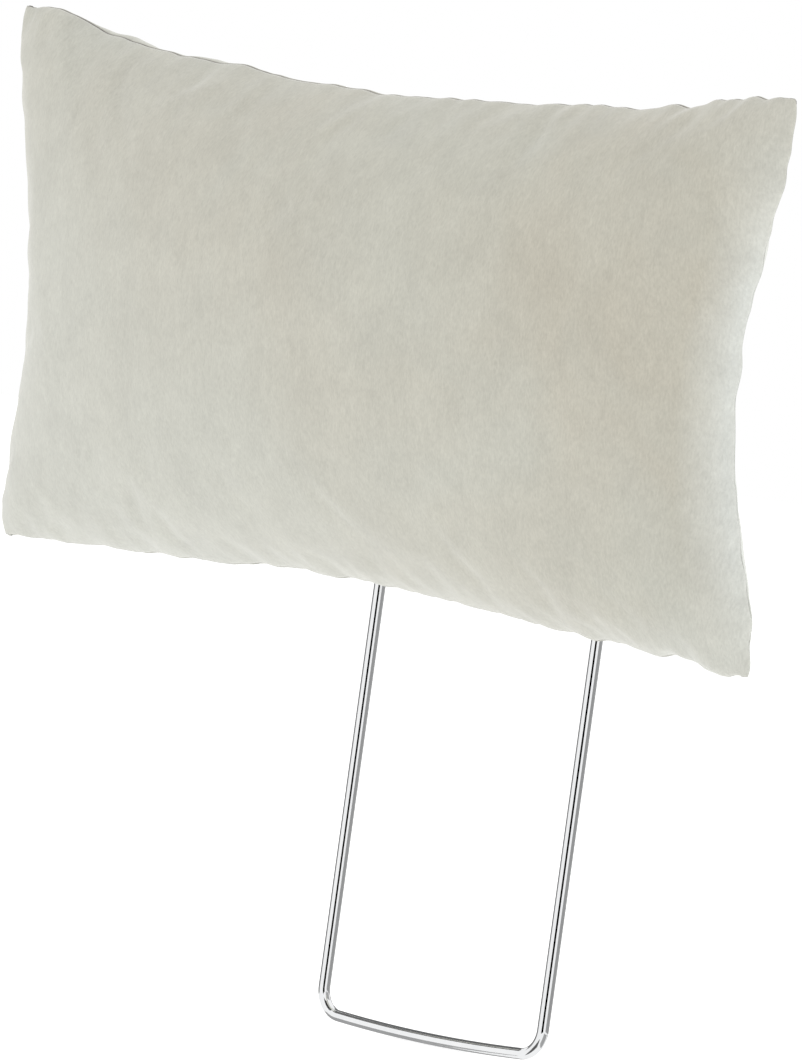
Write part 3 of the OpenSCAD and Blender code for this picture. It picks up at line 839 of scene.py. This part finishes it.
def zip_coil(word, side):
    """Loops of the coil, which mesh with the other side's."""
    a = np.linspace(-0.6, 1, 8) * math.pi
    parts = []
    for k in range(int(ZIP_L / COIL_PITCH)):
        x0 = -ZIP_L / 2 + COIL_PITCH * (k + (0.25 if side > 0 else 0.75))
        loop = np.stack([x0 + 0.25 * COIL_PITCH * a / math.pi,
                         side * (0.95 * MM + 1.2 * MM * np.cos(a + math.pi)),
                         COIL_DEPTH + 0.85 * MM * np.sin(a)], -1)
        parts.append(tube(on_zip(loop), np.full(8, 0.3 * MM), 6, (1, 0.2, 0.1)))
    points, faces = join(parts)
    make(f"zip_coil_{word}_teeth", to_row(points), faces, "cushion", f"zip_coil_{word}", COIL)


def zip_stitching():
    """A line of stitches on each side of the slit."""
    u = np.linspace(-0.66, 0.66, 160)
    parts = []
    for shift in (1, -1):
        v = ZIP_V + shift * (zip_opening(u) + 4.2 * MM / (HALF_H - BOTTOM_SCOOP))
        p = on_surface("back", u, v) + ZIP_OUT * 0.15 * MM
        parts.append(stitches(p, np.broadcast_to(ZIP_OUT, p.shape), *STITCH))
    points, faces = join(parts)
    make("zip_stitching", to_row(points), faces, "cushion", None, THREAD)


def zip_parts():
    for word, side in (("upper", 1), ("lower", -1)):
        zip_tape(word, side)
        zip_coil(word, side)
    zip_stitching()


# ---------- wire ----------
CORNER_R, BOW = 15 * MM, math.radians(3.6)     # corners of the loop, and bow of its lower bar
CRANK_R, CRANK = 20 * MM, math.radians(60)     # crank that takes the legs behind the cushion
CRANK_START = 19 * MM                          # above the cushion's lower edge
WELD_BEAD, WELD_W = 0.35 * MM, 1.2 * MM        # in the middle of the top bar
WIRE_SIDES = 32


def wire_path():
    """Places on the right half of the loop from the lower bar up, with the wire's turn and tilt at each."""
    bow_r = (LEG_X - CORNER_R + CORNER_R * math.sin(BOW)) / math.sin(BOW)
    corner_x = LEG_X - CORNER_R
    corner_z = bow_r * (1 - math.cos(BOW)) + CORNER_R * math.cos(BOW)
    # the plane in which the wire lies behind the cushion
    wire_y = BACK_CROWN + 0.4 * MM + WIRE_R
    plane_y, plane_z = -REACH + wire_y * COS, DROP + wire_y * SIN
    # the crank is two bends with a straight stretch between them, as long as it takes to reach that plane
    start = DROP + CRANK_START
    bend_1 = np.array([-CRANK_R * (1 - math.cos(CRANK)), start + CRANK_R * math.sin(CRANK)])
    bend_2 = np.array([-CRANK_R * (COS - math.cos(CRANK)), CRANK_R * (math.sin(CRANK) - SIN)])
    end, tan = bend_1 + bend_2, math.tan(LEAN)
    length = (end[0] - plane_y + tan * (end[1] - plane_z)) / (math.sin(CRANK) - tan * math.cos(CRANK))
    centre = (bend_1 + length * np.array([-math.sin(CRANK), math.cos(CRANK)])
              + CRANK_R * np.array([math.cos(CRANK), math.sin(CRANK)]))
    half = []
    for a in np.linspace(0, BOW, 8)[:-1]:
        half.append(((bow_r * math.sin(a), 0, bow_r * (1 - math.cos(a))), a, 0))
    for a in np.linspace(BOW, math.pi / 2, 18):
        half.append(((corner_x + CORNER_R * math.sin(a), 0, corner_z - CORNER_R * math.cos(a)), a, 0))
    for z in np.linspace(corner_z, start, 14)[1:-1]:
        half.append(((LEG_X, 0, z), math.pi / 2, 0))
    for a in np.linspace(0, CRANK, 16):
        half.append(((LEG_X, -CRANK_R * (1 - math.cos(a)), start + CRANK_R * math.sin(a)), math.pi / 2, a))
    for a in np.linspace(CRANK, LEAN, 16):
        half.append(((LEG_X, centre[0] - CRANK_R * math.cos(a), centre[1] - CRANK_R * math.sin(a)),
                     math.pi / 2, a))
    for a in np.linspace(math.pi / 2, math.pi, 18):
        z = BAR_Z - CORNER_R - CORNER_R * math.cos(a)
        half.append(((corner_x + CORNER_R * math.sin(a), plane_y - z * SIN, plane_z + z * COS), a, LEAN))
    for x in (8, 3, 1.5, 0.75, 0):
        half.append(((x * MM, plane_y - BAR_Z * SIN, plane_z + BAR_Z * COS), math.pi, LEAN))
    return half


def wire():
    """The closed ring of bent wire, as the CAD source lays it out, with a low weld bead in its top bar."""
    half = wire_path()
    ring = half + [((-p[0], p[1], p[2]), 2 * math.pi - a, t) for p, a, t in half[-2:0:-1]]
    points = []
    for place, turn, tilt in ring:
        rise = np.array([0, -math.sin(tilt), math.cos(tilt)])
        outward = math.sin(turn) * np.array([1, 0, 0]) - math.cos(turn) * rise
        rear = np.array([0, math.cos(tilt), math.sin(tilt)])
        in_top_bar = turn > math.pi * 0.99 and tilt
        bead = WELD_BEAD * math.exp(-(place[0] / WELD_W) ** 2) if in_top_bar else 0
        for k in range(WIRE_SIDES):
            a = 2 * math.pi * k / WIRE_SIDES
            points.append(np.array(place) + (WIRE_R + bead) * (math.cos(a) * outward + math.sin(a) * rear))
    make("wire_loop", points, quads(len(ring), WIRE_SIDES, around=True, across=True), "frame",
         "wire_frame", CHROME)


def carried_over():
    """CAD nodes whose shape is right keep it and get a finish."""
    finish = {"inner_case_front": CASE, "inner_case_back": CASE, "fibre_wrap_front": WADDING,
              "fibre_wrap_back": WADDING, "foam_core": FOAM, "zip_top_stops": METAL, "zip_bottom_stop": METAL,
              "zip_slider": METAL, "zip_pull": METAL}
    for node, m in finish.items():
        slots = frame["nodes"][node].data.materials
        slots.clear()
        slots.append(m)


# ---------- stage ----------
MIDDLE = (0, 0, 0.25)                          # what the cards and the lights face
STAGE_R = 3                                    # and how far from the middle they stand
# Cards that show in reflections alone: name, azimuth, elevation, width, height and tone.
CARDS = (("dark_card", 34, 0, 2.0, 1.5, 0.0), ("right_card", 137, 0, 5.4, 1.5, 0.34),
         ("left_card", -95, 0, 4.2, 1.3, 0.22), ("upper_card", -94, 43, 4.0, 1.4, 0.12),
         ("lower_card", -98, -39, 4.4, 1.3, 0.38), ("corner_card", -8, 43, 2.6, 1.8, 0.05),
         ("low_corner_card", 2, -42, 2.4, 1.6, 0.12), ("high_right_card", 112, 36, 4.2, 2.0, 0.40),
         ("low_right_card", 112, -36, 4.2, 2.0, 0.40), ("high_rear_card", -130, 26, 2.2, 1.1, 0.12),
         ("rear_card", 204, 0, 1.8, 1.5, 0.05))
# Lights: name, azimuth, height, size and power.
LIGHTS = (("key", -12, 2.6, 2.4, 15), ("fill", 80, 1.6, 2.0, 3), ("rear", 195, 2.4, 2.4, 6),
          ("rim_right", 130, 0.6, 1.5, 19), ("rim_left", -120, 0.5, 1.5, 7))


def emitter(name, strength, base=(0, 0, 0)):
    """A matt paint that gives off white light."""
    m = bpy.data.materials.new(name)
    m.use_nodes = True
    b = m.node_tree.nodes["Principled BSDF"]
    b.inputs["Base Color"].default_value = (*base, 1)
    b.inputs["Roughness"].default_value = 1
    b.inputs["Specular IOR Level"].default_value = 0
    b.inputs["Emission Color"].default_value = (1, 1, 1, 1)
    b.inputs["Emission Strength"].default_value = strength
    return m


def plane(name, centre, facing, size, m):
    """A flat card that faces a point."""
    mesh = bpy.data.meshes.new(name)
    w, h = size[0] / 2, size[1] / 2
    mesh.from_pydata([(-w, -h, 0), (w, -h, 0), (w, h, 0), (-w, h, 0)], [], [(0, 1, 2, 3)])
    mesh.materials.append(m)
    obj = bpy.data.objects.new(name, mesh)
    scene.collection.objects.link(obj)
    obj.location = centre
    direction = Vector(facing) - Vector(centre)
    obj.rotation_euler = direction.to_track_quat("Z", "Y").to_euler()
    return obj


def around(azimuth, distance, z):
    a = math.radians(azimuth)
    return math.sin(a) * distance, -math.cos(a) * distance, z


def reflect_only(obj):
    """A card that shows in reflections alone, as a photographer's flag outside the picture does."""
    obj.visible_camera = obj.visible_diffuse = obj.visible_transmission = False
    obj.visible_shadow = obj.visible_volume_scatter = False
    obj.data.materials[0].cycles.emission_sampling = "NONE"


def studio():
    """A white floor and world, the cards that the chrome reflects, and soft lights that it doesn't."""
    floor_z = cad_box[0].z - 0.2 * MM
    paint = emitter("floor_paint", 0.42, (0.8, 0.8, 0.8))
    floor = plane("floor", (0, 0, floor_z), (0, 0, 5), (90, 90), paint)
    floor.visible_glossy = False
    for name, azimuth, elevation, width, height, tone in CARDS:
        e = math.radians(elevation)
        place = around(azimuth, STAGE_R * math.cos(e), MIDDLE[2] + STAGE_R * math.sin(e))
        reflect_only(plane(name, place, MIDDLE, (width, height), emitter(name, tone)))
    for name, azimuth, z, size, power in LIGHTS:
        light = bpy.data.lights.new(name, "AREA")
        light.size, light.energy = size, power
        obj = bpy.data.objects.new(name, light)
        scene.collection.objects.link(obj)
        obj.visible_glossy = False
        obj.location = around(azimuth, STAGE_R, z)
        obj.rotation_euler = (Vector(MIDDLE) - obj.location).to_track_quat("-Z", "Y").to_euler()
    world = bpy.data.worlds.new("studio")
    scene.world = world
    world.use_nodes = True
    world.node_tree.nodes["Background"].inputs["Color"].default_value = (1, 1, 1, 1)
    world.node_tree.nodes["Background"].inputs["Strength"].default_value = 1.0
    scene.view_settings.view_transform = "Standard"


# The photo's camera, as fitted: angles, distance from the origin, pixels per metre there, and how far the
# origin is from the middle of the picture, in pixels.
AZIMUTH, ELEVATION, ROLL = math.radians(45), 0.013927, -0.137301
DISTANCE, PX_PER_M, SHIFT = 5.105, 1810.6, (27.20, 508.08)
PHOTO_H = 1061
SENSOR = 36                                    # in Blender's millimetres


def camera():
    back = Vector((math.sin(AZIMUTH) * math.cos(ELEVATION), -math.cos(AZIMUTH) * math.cos(ELEVATION),
                   math.sin(ELEVATION)))
    right = Vector((math.cos(AZIMUTH), math.sin(AZIMUTH), 0))
    up = back.cross(right)
    cam_x = math.cos(ROLL) * right - math.sin(ROLL) * up
    cam_y = math.sin(ROLL) * right + math.cos(ROLL) * up
    data = bpy.data.cameras.new("camera")
    data.sensor_fit, data.sensor_width = "AUTO", SENSOR
    data.lens = SENSOR * PX_PER_M * DISTANCE / PHOTO_H
    data.clip_start, data.clip_end = 0.1, 100
    obj = bpy.data.objects.new("camera", data)
    scene.collection.objects.link(obj)
    place = back * DISTANCE - cam_x * (SHIFT[0] / PX_PER_M) + cam_y * (SHIFT[1] / PX_PER_M)
    obj.matrix_world = Matrix(((cam_x.x, cam_y.x, back.x, place.x), (cam_x.y, cam_y.y, back.y, place.y),
                               (cam_x.z, cam_y.z, back.z, place.z), (0, 0, 0, 1)))
    scene.camera = obj


camera()
studio()
front_cover()
back_covers()
pocket_obj, pocket_grid = pocket()
pocket_stitching()
bound = binding()
tack_obj = tacks()
label_obj, label_grid = label()
zip_parts()
wire()
carried_over()
